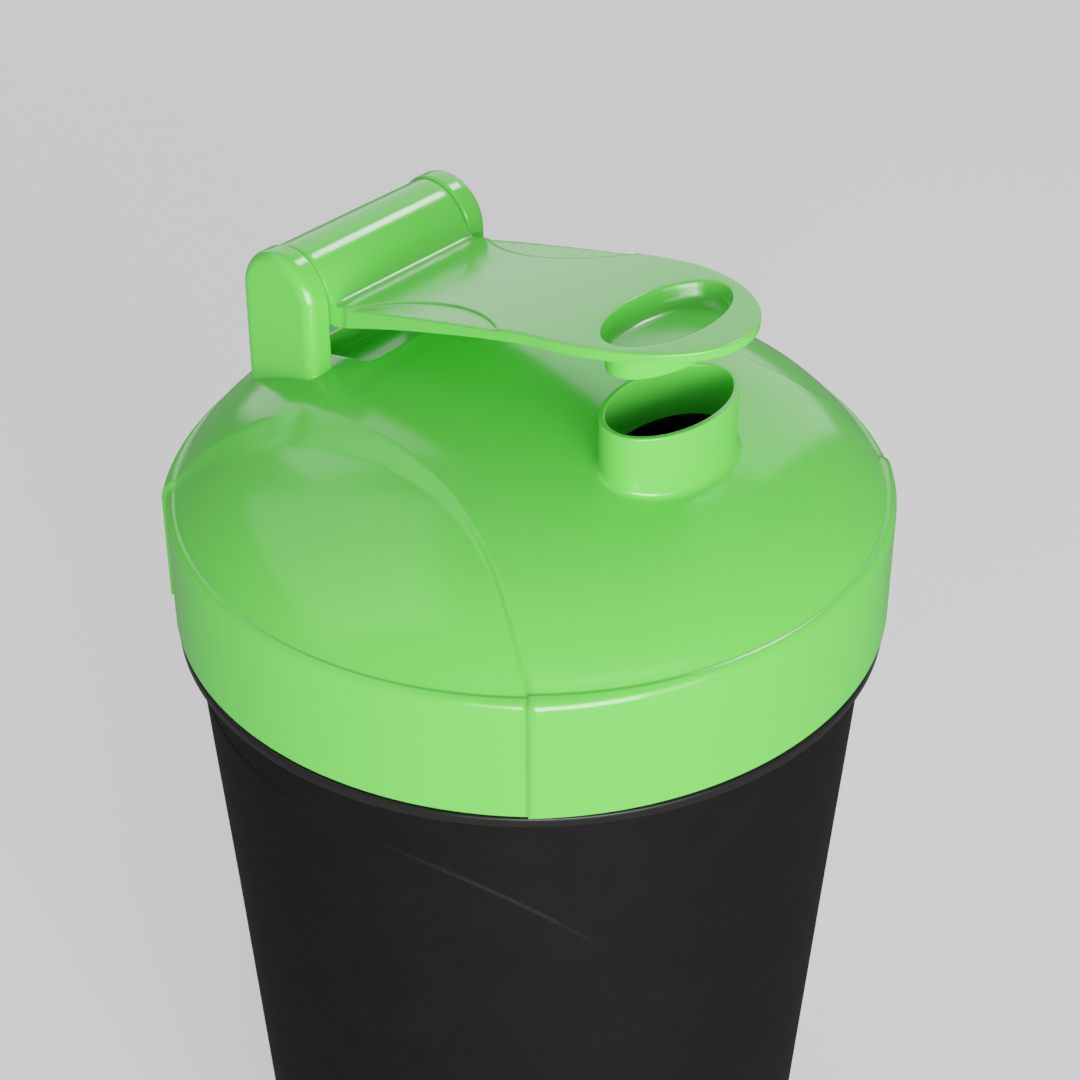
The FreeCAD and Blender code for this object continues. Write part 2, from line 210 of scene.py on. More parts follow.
def hex_points(x0, x1, y0, y1, pitch):
    rows = []
    step = pitch * math.sqrt(3) / 2
    for i, y in enumerate(np.arange(y0, y1, step)):
        xs = np.arange(x0 + (i % 2) * pitch / 2, x1, pitch)
        rows.append(np.stack([xs, np.full_like(xs, y)], axis=1))
    return np.concatenate(rows)


def oval_loop(rx, ry, grow=0.0, count=144):
    """Plan loop at a constant distance outside an ellipse about the origin."""
    a = np.linspace(0, 2 * np.pi, count, endpoint=False)
    nx, ny = np.cos(a) / rx, np.sin(a) / ry
    length = np.hypot(nx, ny)
    return np.stack([rx * np.cos(a) + grow * nx / length, ry * np.sin(a) + grow * ny / length], axis=1)


def half_rectangle(x0, x1, depth, r0, r1, grow=0.0):
    """Half loop from (x0, 0) through -Y to (x1, 0), with rounded corners of radius r0 and r1."""
    along, corner = 10, 7
    a0 = np.linspace(np.pi, 1.5 * np.pi, corner)
    a1 = np.linspace(1.5 * np.pi, 2 * np.pi, corner)
    arc0 = np.stack([x0 + r0 + (r0 + grow) * np.cos(a0), -depth + r0 + (r0 + grow) * np.sin(a0)], axis=1)
    arc1 = np.stack([x1 - r1 + (r1 + grow) * np.cos(a1), -depth + r1 + (r1 + grow) * np.sin(a1)], axis=1)
    first = np.linspace((x0 - grow, 0), arc0[0], along)[:-1]
    middle = np.linspace(arc0[-1], arc1[0], along)[1:-1]
    last = np.linspace(arc1[-1], (x1 + grow, 0), along)[1:]
    return np.concatenate([first, arc0, middle, arc1, last])


def rectangle_loop(x0, x1, yc, depth, r0, r1, grow=0.0):
    """Whole loop, symmetric about y = yc, made of the front half and its mirror."""
    front = half_rectangle(x0, x1, depth, r0, r1, grow)
    back = front[::-1][1:-1] * (1, -1)
    return np.concatenate([front, back]) + (0, yc)


def polar(r, degrees):
    return np.array([r * math.cos(math.radians(degrees)), r * math.sin(math.radians(degrees))])


def angle_between(a, b):
    """Smallest angle between two bearings, in degrees."""
    return abs((a - b + 180) % 360 - 180)


def quarter_steps(steps=6):
    return np.linspace(0, math.pi / 2, steps + 1)


def on(height):
    """Lifts plan points on to a height function."""
    return lambda x, y: np.stack([x, y, height(x, y)], axis=-1)


def level(z):
    """Lifts plan points to one height."""
    return on(lambda x, y: np.full_like(x, z))


def lift_loop(loop, z):
    return np.column_stack([loop, np.broadcast_to(z, len(loop))])


def fillet_rows(height, loop_of, radius, sign):
    """From a surface on to an upright wall: sign 1 rises from it, -1 drops into it."""
    rows = []
    for a in quarter_steps():
        loop = loop_of(radius * (1 - math.sin(a)))
        z = height(loop[:, 0], loop[:, 1]) + sign * radius * (1 - math.cos(a))
        rows.append(lift_loop(loop, z))
    return rows


def wall_rows(row, z, count):
    """Rows from a given row straight up or down to the height z."""
    target = row.copy()
    target[:, 2] = z
    return [row + (target - row) * t for t in np.linspace(0, 1, count + 1)[1:]]


def thicken(grid, longest=2.5):
    """Extra rows where two neighbouring rows are far apart."""
    rows = [grid[0]]
    for low, high in zip(grid, grid[1:]):
        gap = np.linalg.norm(high - low, axis=1).max()
        count = max(1, math.ceil(gap / longest))
        rows += [low + (high - low) * t for t in np.linspace(0, 1, count + 1)[1:]]
    return np.array(rows)


def resample(path, pitch):
    """Points at an even pitch along a path."""
    lengths = np.concatenate([[0], np.cumsum(np.linalg.norm(np.diff(path, axis=0), axis=1))])
    wanted = np.arange(0, lengths[-1], pitch)
    return np.column_stack([np.interp(wanted, lengths, path[:, i]) for i in (0, 1)])


def thin_out(points, cell):
    """Drops all but one of the points that fall in the same small square."""
    _, first = np.unique(np.round(points / cell).astype(int), axis=0, return_index=True)
    return points[np.sort(first)]


# ---- screw thread ------------------------------------------------------------------------
PITCH = 6.0
RIDGE_ROOT, RIDGE_CREST = 1.2, 0.6              # half heights of the ridge at root and crest
RIDGE_Z = CUP_H + 5.5                           # middle of the cup's ridge where it starts
RIDGE_DROP = 2.05                               # how far the lid's ridge lies under the cup's
RIDGE_SUNK = 0.3                                # its root starts this far inside the wall


def add_thread(shell, root_r, crest_r, z_start, turns, start_deg):
    """Trapezoidal screw ridge with tapered ends."""
    per_turn, taper = 120, 12
    count = int(turns * per_turn)
    rows = []
    for i in range(count + 1):
        turn = turns * i / count
        z = z_start + PITCH * (start_deg / 360 + turn)
        fade = min(1, i / taper, (count - i) / taper)
        crest = root_r + (crest_r - root_r) * (0.15 + 0.85 * fade)
        direction = polar(1, start_deg + 360 * turn)
        section = [(root_r, -RIDGE_ROOT), (crest, -RIDGE_CREST), (crest, RIDGE_CREST), (root_r, RIDGE_ROOT)]
        rows.append([(direction[0] * r, direction[1] * r, z + dz) for r, dz in section])
    rows = np.array(rows)
    shell.grid(rows)
    shell.add(np.concatenate([rows[0], rows[-1]]), [[0, 1, 2, 3], [7, 6, 5, 4]])


# ---- lid ---------------------------------------------------------------------------------
CREASE_R = 48.5
DOME_R = 47.6                                   # the dome ends here and the valley begins
DOME_TOP = CUP_H + 37.7
DOME_FALL = ((2, 7.0), (4, 5.4), (8, 3.6))      # power of r / CREASE_R and its fall
DOME_WALL = 2.0
SCALLOP_DROP = 0.7
SCALLOP_DEEP = 0.45                             # and this much more beside the ears
DEEP_R, DEEP_FADE, DEEP_Y = 46.0, 10.0, 12.0    # where the extra depth fades out
SCALLOP_ROUND, ROUND_REACH = 2.0, 15.0          # rounding of its peak, and how far that shows
SEAM_FRONT, SEAM_BACK = 48.2, 44.5              # degrees from the spout's and the hinge's side
SEAMS = (270 - SEAM_FRONT, 270 + SEAM_FRONT, 90 - SEAM_BACK + 360, 90 + SEAM_BACK)
SEAM_HALF = 0.05                                # half a seam's width in degrees
# Front and back sections of the skirt: bearing, half angle, radius, and its rise to the seams.
MAIN_SECTIONS = ((270, SEAM_FRONT, 50.0, 0.8), (90, SEAM_BACK, 50.2, 0.9))
FLANK_BEARINGS, FLANK_HALF, FLANK_R, FLANK_RISE = (2, 178), 43.6, 49.95, 0.45
SHOULDER_ROUND, FLANK_ROUND, FLANK_SUNK = 2.2, 2.6, 0.2
SCALLOP_EDGE = ((-36.2, -32.3), (-33.3, -26.9), (-28.9, -18.2), (-25.6, -8.6), (-23.2, 3.0),
                (-21.8, 13.0), (-21.1, 19.6), (-22.3, 22.5), (-26.0, 24.7), (-29.3, 28.4),
                (-31.6, 32.2), (-34.0, 34.6))
SCALLOP_OUTSIDE = ((-52.0, 53.0), (-90.0, 53.0), (-90.0, -80.3))
RAMP = ((-40, -20, -8, 3, 10, 16, 21, 25, 30, 40),            # y, and the slope's width there
        (0.5, 0.6, 1.2, 2.8, 5.0, 6.6, 6.2, 4.6, 2.6, 1.4))
RAMP_EASE = 0.12
RAMP_ROWS = ((-RAMP_EASE, -0.3), (-RAMP_EASE, 0), (0, 0), (RAMP_EASE, 0), (0.5, 0),
             (1 - RAMP_EASE, 0), (1 + RAMP_EASE, 0), (1 + RAMP_EASE, 0.35))
ROW_PITCH, FIELD_PITCH, INNER_PITCH = 0.55, 0.85, 2.5          # spacing of mesh points
ROW_GAP, LOOP_GAP, INNER_GAP = 0.4, 0.35, 0.8                  # least room kept round lines
RING_R = (41.2, 42.7)
RING_Z = CUP_H + 12.0
BORE_R = 48.1
GROOVE_Z = GASKET_HIGH.z
SKIRT_Z = LID_LOW.z
RIM_ROUND, GROOVE_ROUND = 0.35, 0.2
LEDGE_Z = CUP_H + 19.95
CREASE = ((48.95, CUP_H + 20.8), (49.4, CUP_H + 20.75))
SPOUT_Y, SPOUT_Z = -24.1, CUP_H + 43.0
SPOUT_RX, SPOUT_RY, SPOUT_WALL = 11.3, 7.2, 0.85
SPOUT_FOOT, SPOUT_EDGE = 0.8, 0.24
BORE_SHADE_Z = CUP_H + 35.45                     # below this the spout's bore is painted black as shade
BORE_MARGIN = 0.05
EAR_X0, EAR_X1, EAR_R = 13.75, 17.6, 6.8
EAR_OUTER, EAR_INNER, EAR_FOOT = 1.6, 0.4, 0.35
WELL_X, WELL_Y0, WELL_Y1, WELL_Z = 11.0, 19.6, 33.0, CUP_H + 29.6
WELL_CORNER, WELL_EDGE, WELL_FLOOR_ROUND, WELL_WALL = 2.0, 0.1, 1.0, 1.6
LID_RIDGE_R, LID_RIDGE_TURNS, LID_RIDGE_START = 45.8, 1.2, 15.0

scallop_path = smooth_curve(SCALLOP_EDGE, 8)
scallop_peak = int(np.argmax(scallop_path[:, 0]))
scallop_loop = np.concatenate([scallop_path, SCALLOP_OUTSIDE])


def ramp_width(y):
    return np.interp(y, *RAMP)


def scallop_drop(x, y):
    """How far the two side scallops lie under the dome."""
    x = -np.abs(x)
    flat_x, flat_y = np.ravel(x), np.ravel(y)
    front = path_distance(flat_x, flat_y, scallop_path[:scallop_peak + 1])
    rear = path_distance(flat_x, flat_y, scallop_path[scallop_peak:])
    regained = SCALLOP_ROUND ** 2 / (2 * ROUND_REACH)
    depth = (front + rear - np.hypot(front - rear, SCALLOP_ROUND) + regained) / 2
    within = inside(np.stack([flat_x, flat_y], axis=1), scallop_loop)
    signed = np.where(within, depth, -depth)
    deep = soft_fade((DEEP_R - np.hypot(flat_x, flat_y)) / DEEP_FADE)
    deep *= np.interp(flat_y, (-DEEP_Y, DEEP_Y), (0, 1))
    drop = (SCALLOP_DROP + SCALLOP_DEEP * deep) * soft_ramp(signed / ramp_width(flat_y), RAMP_EASE)
    return drop.reshape(np.shape(x))


def plain_dome(x, y):
    """Height of the dome without its scallops."""
    s = np.hypot(x, y) / CREASE_R
    return DOME_TOP - sum(fall * s ** power for power, fall in DOME_FALL)


def dome_height(x, y):
    return plain_dome(x, y) - scallop_drop(x, y)


def underside(x, y):
    return plain_dome(x, y) - DOME_WALL - SCALLOP_DROP / 2


def section_shape(angle, side):
    """The skirt's radius, shoulder rounding and how far its shoulder lies lower, at an angle.
    At a seam, side tells which of the two sections is meant."""
    probe = (angle + side * SEAM_HALF) % 360
    for bearing, half, base, rise in MAIN_SECTIONS:
        away = angle_between(probe, bearing)
        if away <= half:
            return base + rise * (away / half) ** 2, SHOULDER_ROUND, 0.0
    away = min(angle_between(probe, bearing) for bearing in FLANK_BEARINGS)
    return FLANK_R + FLANK_RISE * min(1, away / FLANK_HALF) ** 2, FLANK_ROUND, FLANK_SUNK


def skirt_columns():
    """(angle, *section shape) round the skirt, with a pair of columns at each seam."""
    seams = [s % 360 for s in SEAMS]
    plain = [a for a in np.arange(0, 360, 1.0) if all(angle_between(a, s) > 0.5 for s in seams)]
    columns = [(a, *section_shape(a, 0)) for a in plain]
    for seam in seams:
        columns.append((seam - SEAM_HALF, *section_shape(seam, -1)))
        columns.append((seam + SEAM_HALF, *section_shape(seam, 1)))
    return sorted(columns)


def spout_loop(grow):
    return oval_loop(SPOUT_RX, SPOUT_RY, grow) + (0, SPOUT_Y)


def add_spout(shell):
    """The spout's wall, its rounded edge and its bore. Returns the holes for the dome's sheets."""
    edge_z = SPOUT_Z - SPOUT_EDGE
    rows = fillet_rows(dome_height, spout_loop, SPOUT_FOOT, 1)
    rows += wall_rows(rows[-1], edge_z, 8)
    for a in quarter_steps(4)[1:]:
        rows.append(lift_loop(spout_loop(-SPOUT_EDGE * (1 - math.cos(a))),
                              SPOUT_Z - SPOUT_EDGE * (1 - math.sin(a))))
    for a in quarter_steps(4):
        rows.append(lift_loop(spout_loop(-SPOUT_WALL + SPOUT_EDGE * (1 - math.sin(a))),
                              SPOUT_Z - SPOUT_EDGE * (1 - math.cos(a))))
    rows += wall_rows(rows[-1], BORE_SHADE_Z, 6)
    top = rows[-1]
    foot = spout_loop(-SPOUT_WALL)
    bottom = lift_loop(foot, underside(foot[:, 0], foot[:, 1]))
    rows += [top + (bottom - top) * t for t in np.linspace(0, 1, 4)[1:]]
    shell.grid(rows)
    return spout_loop(SPOUT_FOOT), foot


def add_ear(shell, mirror):
    """One hinge ear: a post whose half section turns over the top about the hinge axis."""
    def loop_of(grow):
        loop = rectangle_loop(EAR_X0, EAR_X1, HINGE_Y, EAR_R, EAR_INNER, EAR_OUTER, grow)
        return loop * (mirror, 1)
    rows = fillet_rows(dome_height, loop_of, EAR_FOOT, 1)
    rows += wall_rows(rows[-1], HINGE_Z, 8)
    shell.grid(rows)
    x, y = half_rectangle(EAR_X0, EAR_X1, EAR_R, EAR_INNER, EAR_OUTER).T
    arch = [np.column_stack([x * mirror, HINGE_Y + y * np.cos(a), HINGE_Z - y * np.sin(a)])
            for a in np.linspace(0, np.pi, 41)]
    shell.grid(arch, closed=False)
    return loop_of(EAR_FOOT)


def well_loop(grow):
    half = (WELL_Y1 - WELL_Y0) / 2
    return rectangle_loop(-WELL_X, WELL_X, WELL_Y0 + half, half, WELL_CORNER, WELL_CORNER, grow)


def add_well(shell):
    """The well under the barrel, and its boss under the dome. Returns the holes for both sheets."""
    rows = fillet_rows(dome_height, well_loop, WELL_EDGE, -1)
    rows += wall_rows(rows[-1], WELL_Z + WELL_FLOOR_ROUND, 5)
    for a in quarter_steps()[1:]:
        rows.append(lift_loop(well_loop(-WELL_FLOOR_ROUND * (1 - math.cos(a))),
                              WELL_Z + WELL_FLOOR_ROUND * (1 - math.sin(a))))
    shell.grid(rows)
    shell.sheet(well_loop(-WELL_FLOOR_ROUND), [], [], level(WELL_Z))

    boss = well_loop(WELL_WALL)
    rows = [lift_loop(boss, underside(boss[:, 0], boss[:, 1]))]
    rows += wall_rows(rows[0], WELL_Z - WELL_WALL, 4)
    shell.grid(rows)
    shell.sheet(boss, [], [], level(WELL_Z - WELL_WALL))
    return well_loop(WELL_EDGE), boss


def add_skirt(shell):
    """Valley round the dome, the skirt with its four sections, and everything inside it."""
    ceiling = float(underside(RING_R[0], 0.0))
    rows = []
    for angle, radius, shoulder, sunk in skirt_columns():
        x, y = polar(DOME_R, angle)
        top = float(dome_height(np.array([x]), np.array([y]))[0])
        valley = [(r, z - 2 * sunk) for r, z in CREASE]
        corners = [(DOME_R, top), *valley, (radius, LEDGE_Z - sunk),
                   (radius, SKIRT_Z), (BORE_R, SKIRT_Z), (BORE_R, GROOVE_Z),
                   (RING_R[1], GROOVE_Z), (RING_R[1], RING_Z), (RING_R[0], RING_Z),
                   (RING_R[0], ceiling)]
        radii = [RIM_ROUND, RIM_ROUND, shoulder, RIM_ROUND, RIM_ROUND,
                 GROOVE_ROUND, GROOVE_ROUND, RIM_ROUND, RIM_ROUND]
        profile = round_path(corners, radii)
        rows.append(np.column_stack([np.outer(profile[:, 0], polar(1, angle)), profile[:, 1]]))
    grid = np.array(rows).transpose(1, 0, 2)
    shell.grid(thicken(grid))
    return grid[0][:, :2], grid[-1][:, :2]


def dome_filling(loops):
    """Inner points of the dome: rows along the scallop edges, and a fine hexagonal field."""
    tangent = np.gradient(scallop_path, axis=0)
    tangent /= np.linalg.norm(tangent, axis=1)[:, None]
    normal = np.column_stack([-tangent[:, 1], tangent[:, 0]])
    width = ramp_width(scallop_path[:, 1])[:, None]
    rows = [scallop_path + normal * (width * share + extra) for share, extra in RAMP_ROWS]
    left = np.concatenate([resample(row, ROW_PITCH) for row in rows])
    left = left[np.hypot(*left.T) < DOME_R - 0.25]
    crisp = thin_out(np.concatenate([left, left * (-1, 1)]), 0.1)
    field = hex_points(-DOME_R, DOME_R, -DOME_R, DOME_R, FIELD_PITCH)
    field = field[np.hypot(*field.T) < DOME_R - 0.5]
    near = np.zeros(len(field), bool)
    for row in rows:
        for side in (1, -1):
            near |= path_distance(field[:, 0] * side, field[:, 1], row[::2]) < ROW_GAP
    points = np.concatenate([crisp, field[~near]])
    for loop in loops:
        points = keep_off(points, loop, LOOP_GAP)
    return points


def paint_bore_shade(lid):
    """Gives the lower part of the spout's bore the second, black material: painted shade deep in the spout.
    """
    rx = SPOUT_RX - SPOUT_WALL + BORE_MARGIN
    ry = SPOUT_RY - SPOUT_WALL + BORE_MARGIN
    for face in lid.data.polygons:
        x, y, z = face.center / MM
        within = (x / rx) ** 2 + ((y - SPOUT_Y) / ry) ** 2 < 1
        if within and z < BORE_SHADE_Z:
            face.material_index = 1


def make_lid(material, dark):
    shell = Shell()
    spout_hole, bore_hole = add_spout(shell)
    well_hole, boss_hole = add_well(shell)
    holes = [spout_hole, well_hole, add_ear(shell, 1), add_ear(shell, -1)]
    outer, inner = add_skirt(shell)
    shell.sheet(outer, holes, dome_filling(holes), on(dome_height))
    field = hex_points(-RING_R[0], RING_R[0], -RING_R[0], RING_R[0], INNER_PITCH)
    field = field[np.hypot(*field.T) < RING_R[0] - 1]
    for loop in (bore_hole, boss_hole):
        field = keep_off(field, loop, INNER_GAP)
    shell.sheet(inner, [bore_hole, boss_hole], field, on(underside))
    add_thread(shell, BORE_R + RIDGE_SUNK, LID_RIDGE_R, RIDGE_Z - RIDGE_DROP,
               LID_RIDGE_TURNS, LID_RIDGE_START)
    lid = shell.build("lid_body", [material, dark])
    # The lower bore is painted black as shade deep in the spout.
    paint_bore_shade(lid)
    return lid


# ---- flip cap ----------------------------------------------------------------------------
FLAP_X = 13.8
HEAD_Y, TIP_Y = -15.0, -35.5
BARREL_R, BARREL_X = 6.5, 13.6
BARREL_TOP, BARREL_UNDER = (148, 0), (206, 360)                # degrees about the hinge
HOLLOW_CORNER = np.array([HINGE_Y - 6.75, HINGE_Z + 1.25])     # draws in the plate's root
NECK_Y = 21.5
FLAP_EDGE = 0.3
FLAP_BASE = CUP_H + 44
# y, height of the top over FLAP_BASE, thickness
FLAP_SIDE = ((23.2, 0.5, 3.4), (12.0, 3.7, 2.6), (0.0, 6.85, 2.0), (-9.0, 9.05, 1.7),
             (-15.0, 10.25, 1.65), (-21.0, 11.1, 1.6), (-28.0, 11.85, 1.55), (-35.5, 12.5, 1.5))
ROOT_Y = FLAP_SIDE[0][0]
RELIEF, RELIEF_Y0, RELIEF_Y1, RELIEF_DEEP = 0.3, 21.0, -7.0, 5.0
RELIEF_CHORD, RELIEF_MID = RELIEF_Y0 - RELIEF_Y1, (RELIEF_Y0 + RELIEF_Y1) / 2
RELIEF_R = (RELIEF_CHORD ** 2 / 4 + RELIEF_DEEP ** 2) / (2 * RELIEF_DEEP)
RELIEF_X = FLAP_X - RELIEF_DEEP + RELIEF_R
RELIEF_STEP, RELIEF_EASE = 0.3, 0.2             # width of the step, and easing of its corners
DISH_Y, DISH_RX, DISH_RY = -23.2, 10.5, 6.4
# Growth and depth of each ring, from the plate's face inwards.
DISH_RINGS = ((0.3, 0.0), (0.08, 0.06), (0.0, 0.22), (-0.12, 0.7), (-0.35, 1.6), (-0.6, 2.3),
              (-0.95, 2.75), (-1.5, 3.05), (-2.4, 3.25), (-3.5, 3.4), (-4.7, 3.5))
PLUG_Y, PLUG_RX, PLUG_RY, PLUG_DEPTH, PLUG_EDGE = -23.0, 10.1, 5.95, 3.6, 0.45
STUB_PROFILE = ((BARREL_X - 0.4, 0.0), (BARREL_X - 0.4, 1.9), (16.2, 1.9), (16.5, 1.6), (16.5, 0.0))


class Profile:
    """Side view curve of the cap's plate and barrel, measured along its length."""

    def __init__(self, points, side):
        self.points = np.asarray(points, float)
        self.side = side
        lengths = np.linalg.norm(np.diff(self.points, axis=0), axis=1)
        self.run = np.concatenate([[0], np.cumsum(lengths)])
        slope = np.gradient(self.points, self.run, axis=0)
        self.slope = slope / np.linalg.norm(slope, axis=1)[:, None]

    def at(self, s):
        return [np.interp(s, self.run, self.points[:, i]) for i in (0, 1)]

    def normal(self, s):
        """Outward normal in the side view: side is 1 for the upper curve, -1 for the lower."""
        ty, tz = (np.interp(s, self.run, self.slope[:, i]) for i in (0, 1))
        return -tz * self.side, ty * self.side

    def run_at_y(self, y):
        """Run at a place on the plate, before the barrel."""
        plate = self.points[:, 0] <= ROOT_Y + 0.01
        last = np.argmin(plate) if not plate.all() else len(plate)
        return np.interp(y, self.points[:last, 0], self.run[:last])


def barrel_arc(start, end, steps=28):
    a = np.radians(np.linspace(start, end, steps + 1))
    return np.column_stack([HINGE_Y + BARREL_R * np.cos(a), HINGE_Z + BARREL_R * np.sin(a)])


def flap_profiles():
    """The upper and the lower curve, from the tip to behind the axle."""
    y, top_z, thickness = np.array(FLAP_SIDE)[::-1].T
    top = smooth_curve(np.column_stack([y, FLAP_BASE + top_z]), 10)
    under = smooth_curve(np.column_stack([y, FLAP_BASE + top_z - thickness]), 10)
    barrel_top = barrel_arc(*BARREL_TOP)
    hollow = bend(top[-1], HOLLOW_CORNER, barrel_top[0], np.linspace(0, 1, 9)[1:-1])
    upper = Profile(np.concatenate([top, hollow, barrel_top]), 1)
    lower = Profile(np.concatenate([under, barrel_arc(*BARREL_UNDER)]), -1)
    upper.slope[-1], lower.slope[-1] = (0, -1), (0, 1)    # they meet behind the axle, upright
    return upper, lower


def relief_drop(x, y):
    """Crescent steps cut along both edges of the plate's top."""
    depth = RELIEF_R - np.hypot(np.abs(x) - RELIEF_X, y - RELIEF_MID)
    return RELIEF * soft_ramp(depth / RELIEF_STEP, RELIEF_EASE)


def flap_outline(upper, lower):
    """Points round the plate and barrel: (x, run on the upper curve, run on the lower curve)."""
    root_u, root_l = upper.run_at_y(ROOT_Y), lower.run_at_y(ROOT_Y)
    end_u, end_l = upper.run[-1], lower.run[-1]
    barrel = [(BARREL_X, end_u + (root_u - end_u) * t, end_l + (root_l - end_l) * t)
              for t in np.linspace(0, 1, 41)[:-1]]
    straight = []
    for y in [*np.linspace(ROOT_Y, NECK_Y, 4), *np.linspace(NECK_Y - 0.25, HEAD_Y, 62)]:
        x = BARREL_X if y >= NECK_Y else FLAP_X
        straight.append((x, upper.run_at_y(y), lower.run_at_y(y)))
    head = []
    for a in np.linspace(0, np.pi / 2, 40)[1:]:
        y = HEAD_Y - (HEAD_Y - TIP_Y) * math.sin(a)
        head.append((FLAP_X * math.cos(a), upper.run_at_y(y), lower.run_at_y(y)))
    right = np.array(barrel + straight + head)
    left = right[::-1][1:] * (-1, 1, 1)
    return np.concatenate([right, left])


def cap_surface(profile, relief):
    """Maps (x, run, depth under the surface) to space."""
    def place(x, s, depth=0.0):
        y, z = profile.at(s)
        ny, nz = profile.normal(s)
        if relief:
            depth = depth + relief_drop(x, y) * (y < RELIEF_Y0 + 1)
        return np.stack([x, y - ny * depth, z - nz * depth], axis=-1)
    return place


def edge_rows(place, x, s):
    """Rounded edge from the face to the side wall, along the outline, and its inner border."""
    tangent_x, tangent_s = np.gradient(x), np.gradient(s)
    length = np.hypot(tangent_x, tangent_s)
    out_x, out_s = -tangent_s / length, tangent_x / length
    rows = []
    for a in quarter_steps(4):
        back = FLAP_EDGE * (1 - math.sin(a))
        rows.append(place(x - out_x * back, s - out_s * back, FLAP_EDGE * (1 - math.cos(a))))
    return rows, np.column_stack([x - out_x * FLAP_EDGE, s - out_s * FLAP_EDGE])


def flap_filling(border, hole, crisp):
    """Inner points of a cap face: the crisp rows, if any, and a hexagonal field."""
    low, high = border.min(axis=0), border.max(axis=0)
    points = hex_points(low[0], high[0], low[1], high[1], 0.9)
    if len(crisp):
        clear = [np.min(np.hypot(*(crisp - p).T)) > 0.35 for p in points]
        points = np.concatenate([crisp, points[clear]])
    points = keep_off(points, border, 0.3, within=True)
    return keep_off(points, hole, 0.3)


def relief_rows(upper):
    """Points along both crescent steps, close together across the step."""
    reach = math.asin(RELIEF_CHORD / 2 / RELIEF_R)
    points = []
    for depth in (-0.3, -0.06, 0.06, 0.15, 0.24, 0.36, 0.7):
        for a in np.linspace(-reach, reach, 52):
            y = RELIEF_MID + (RELIEF_R - depth) * math.sin(a)
            x = RELIEF_X - (RELIEF_R - depth) * math.cos(a)
            points += [(x, upper.run_at_y(y)), (-x, upper.run_at_y(y))]
    return np.array(points)


def plug_rings():
    """Growth and depth of the plug's rings: foot, wall and rounded lower edge."""
    rings = [(0.3, 0.0), (0.1, -0.08), (0.0, -0.3)]
    rings += [(-0.02 * k, -0.3 - (PLUG_DEPTH - 0.75) * k / 4) for k in range(1, 5)]
    rings += [(-0.08 - PLUG_EDGE * (1 - math.cos(a)), -PLUG_DEPTH + PLUG_EDGE * (1 - math.sin(a)))
              for a in quarter_steps(4)[1:]]
    return rings


def add_oval(shell, profile, place, y, radii, rings):
    """Dish or plug on a face of the plate, closed by its floor. Returns the hole it needs."""
    centre = np.array([0, profile.run_at_y(y)])
    flat = profile.normal(centre[1])

    def loop_of(grow):
        return oval_loop(radii[0] + grow, radii[1] + grow) + centre

    def sunk(x, s, depth):
        points = place(x, s)
        points[..., 1] -= flat[0] * depth
        points[..., 2] -= flat[1] * depth
        return points
    shell.grid([sunk(*loop_of(grow).T, depth) for grow, depth in rings])
    last_grow, floor_depth = rings[-1]
    shell.sheet(loop_of(last_grow), [], [], lambda x, s: sunk(x, s, floor_depth))
    return loop_of(rings[0][0])


def add_stub(shell, side):
    """Stub axle on one end of the barrel."""
    a = np.linspace(0, 2 * np.pi, 32, endpoint=False)
    shell.grid([np.column_stack([np.full(32, x * side), HINGE_Y + r * np.cos(a), HINGE_Z + r * np.sin(a)])
                for x, r in STUB_PROFILE])


def make_cap(material):
    upper, lower = flap_profiles()
    shell = Shell()
    outline = flap_outline(upper, lower)
    dish = (upper, outline[:, 1], DISH_Y, (DISH_RX, DISH_RY), DISH_RINGS)
    plug = (lower, outline[:, 2], PLUG_Y, (PLUG_RX, PLUG_RY), plug_rings())
    walls = []
    for profile, outline_s, y, radii, rings in (dish, plug):
        relief = profile is upper
        place = cap_surface(profile, relief)
        rows, border = edge_rows(place, outline[:, 0], outline_s)
        shell.grid(rows, closed=False)
        walls.append(rows[-1])
        back = np.linspace(border[-1], border[0], 32)[1:-1]
        border = np.concatenate([border, back])
        hole = add_oval(shell, profile, place, y, radii, rings)
        crisp = relief_rows(upper) if relief else ()
        shell.sheet(border, [hole], flap_filling(border, hole, crisp), place)
    shell.grid([walls[0] + (walls[1] - walls[0]) * t for t in (0, 0.5, 1)], closed=False)
    for side in (1, -1):
        add_stub(shell, side)
    return shell.build("flip_cap_body", [material])


# ---- cup ---------------------------------------------------------------------------------
TAPER = math.tan(math.radians(3.7))
CUP_TOP_R, FLANGE_R, FLANGE_H = 47.7, 50.0, 1.6
NECK_R, NECK_BORE_R, CUP_WALL, CUP_FLOOR, FOOT_ROUND, FOOT_RECESS = 45.4, 43.2, 2.2, 2.8, 4.0, 1.4
RIM_Z = CUP_HIGH.z
BAND_TOP = CUP_H - 0.4                          # the outer wall turns into the flange here
# In from the floor's radius and over the floor; in from the floor's radius and over the ground.
FLOOR_STEPS = ((0.4, 3), (1.4, 1.2), (3, 0.3), (5, 0), (16, 0))
BASE_STEPS = ((10, FOOT_RECESS), (6.3, FOOT_RECESS), (5.7, FOOT_RECESS - 0.2), (5.2, 0.15), (4.8, 0))
SWEEP_TOP, SWEEP_START, SWEEP_DROP, SWEEP_POWER = -7.9, 180.0, 4.84e-4, 2.63
SWEEP_GROW, SWEEP_END, SWEEP_FADE = 60, 44, 20  # degrees: grows over, fades from, fades over
SWEEP_RAISE, SWEEP_REACH = 0.22, 45.0           # how far it stands out, and fades below
SWEEP_STEP = ((-0.3, 1.0), (-0.1, 0.9), (0.2, 0.1), (0.4, 0.0))    # over the line, share raised
CUP_RIDGE_R, CUP_RIDGE_TURNS, CUP_RIDGE_START = 47.7, 1.25, 0.0


